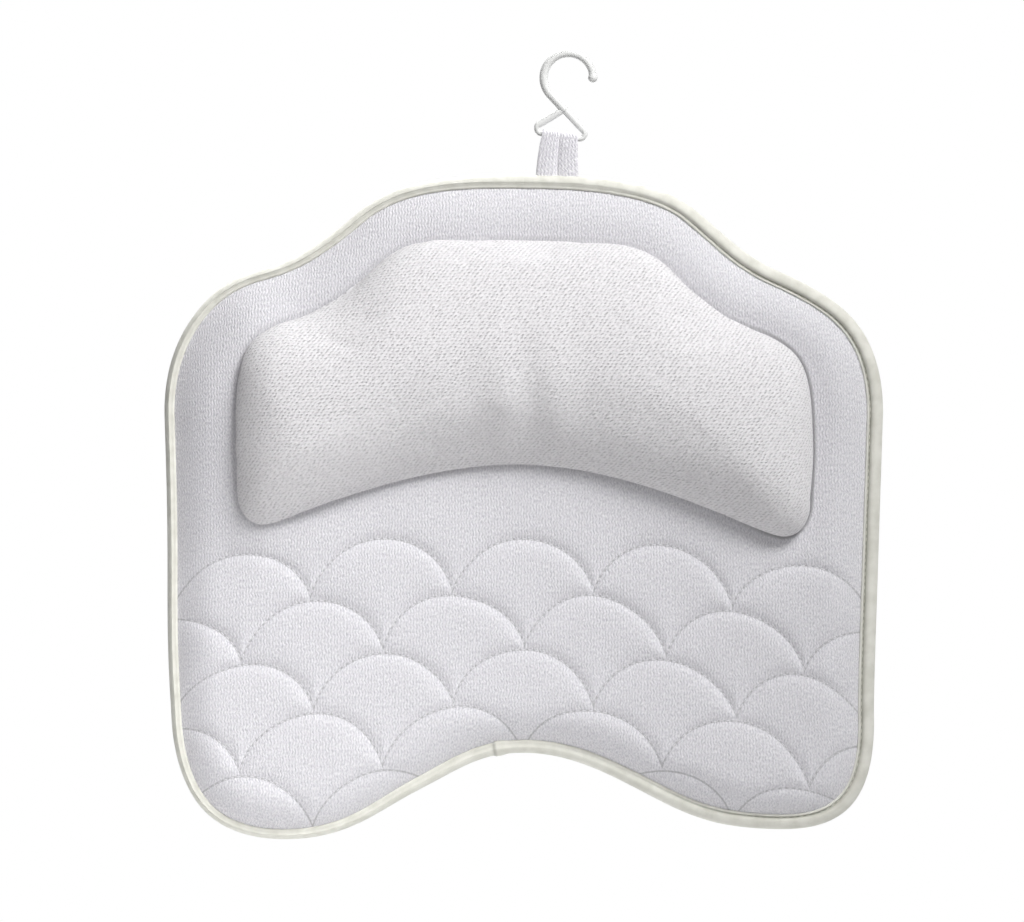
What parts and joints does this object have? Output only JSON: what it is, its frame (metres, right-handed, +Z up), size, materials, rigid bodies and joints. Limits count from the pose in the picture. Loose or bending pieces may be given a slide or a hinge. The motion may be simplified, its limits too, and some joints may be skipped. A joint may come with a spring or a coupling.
{
  "type": "bath pillow",
  "caption": "Quilted mesh bath pillow with a bound edge, an arched foot, a raised headrest, a fabric loop with a plastic hook, and suction cups on its back.",
  "frame": {"origin": "on the plane of the suction lips, at the middle of the pad's width and height, which is the middle of the pattern of cups", "axes": "+Z up, +Y out of the back towards the bath wall, the front faces -Y, +X to the viewer's right"},
  "size_m": [0.4294, 0.066, 0.4686],
  "materials": {
    "quilted_mesh": "white spacer mesh, quilted",
    "headrest_mesh": "white spacer mesh, smooth",
    "fibre": "white polyester fibre",
    "woven_tape": "cream woven tape",
    "loop_mesh": "white mesh strip",
    "hook_plastic": "white, glossy",
    "clear_vinyl": "clear soft vinyl, glossy"
  },
  "bodies": {
    "pillow": {"front_panel": "quilted_mesh", "wadding": "fibre", "back_panel": "quilted_mesh", "edge_binding": "woven_tape", "headrest_cover": "headrest_mesh", "headrest_filling": "fibre", "cup_patch_1": "quilted_mesh", "cup_patch_2": "quilted_mesh", "cup_patch_3": "quilted_mesh", "cup_patch_4": "quilted_mesh", "cup_patch_5": "quilted_mesh", "cup_patch_6": "quilted_mesh"},
    "hanging_loop": {"hanging_loop": "loop_mesh"},
    "hook": {"hook": "hook_plastic"},
    "suction_cup_1": {"suction_cup_1": "clear_vinyl"},
    "suction_cup_2": {"suction_cup_2": "clear_vinyl"},
    "suction_cup_3": {"suction_cup_3": "clear_vinyl"},
    "suction_cup_4": {"suction_cup_4": "clear_vinyl"},
    "suction_cup_5": {"suction_cup_5": "clear_vinyl"},
    "suction_cup_6": {"suction_cup_6": "clear_vinyl"}
  },
  "joints": [
    {"name": "loop_fold", "type": "hinge", "parent": "pillow", "child": "hanging_loop", "pos_m": [0.02002, -0.01825, 0.19836], "axis": [0.9999, 0, -0.0122], "range_deg": [-60, 60]},
    {"name": "hook_swing", "type": "hinge", "parent": "hanging_loop", "child": "hook", "pos_m": [0.02169, -0.01825, 0.22029], "axis": [0.9903, 0, -0.1392], "range_deg": [-80, 80]},
    {"name": "cup_turn_1", "type": "hinge", "parent": "pillow", "child": "suction_cup_1", "pos_m": [-0.13, -0.0107, 0.105], "axis": [0, 1, 0], "continuous": true},
    {"name": "cup_turn_2", "type": "hinge", "parent": "pillow", "child": "suction_cup_2", "pos_m": [0.13, -0.0107, 0.105], "axis": [0, 1, 0], "continuous": true},
    {"name": "cup_turn_3", "type": "hinge", "parent": "pillow", "child": "suction_cup_3", "pos_m": [-0.13, -0.0107, 0], "axis": [0, 1, 0], "continuous": true},
    {"name": "cup_turn_4", "type": "hinge", "parent": "pillow", "child": "suction_cup_4", "pos_m": [0.13, -0.0107, 0], "axis": [0, 1, 0], "continuous": true},
    {"name": "cup_turn_5", "type": "hinge", "parent": "pillow", "child": "suction_cup_5", "pos_m": [-0.13, -0.0107, -0.105], "axis": [0, 1, 0], "continuous": true},
    {"name": "cup_turn_6", "type": "hinge", "parent": "pillow", "child": "suction_cup_6", "pos_m": [0.13, -0.0107, -0.105], "axis": [0, 1, 0], "continuous": true}
  ]
}
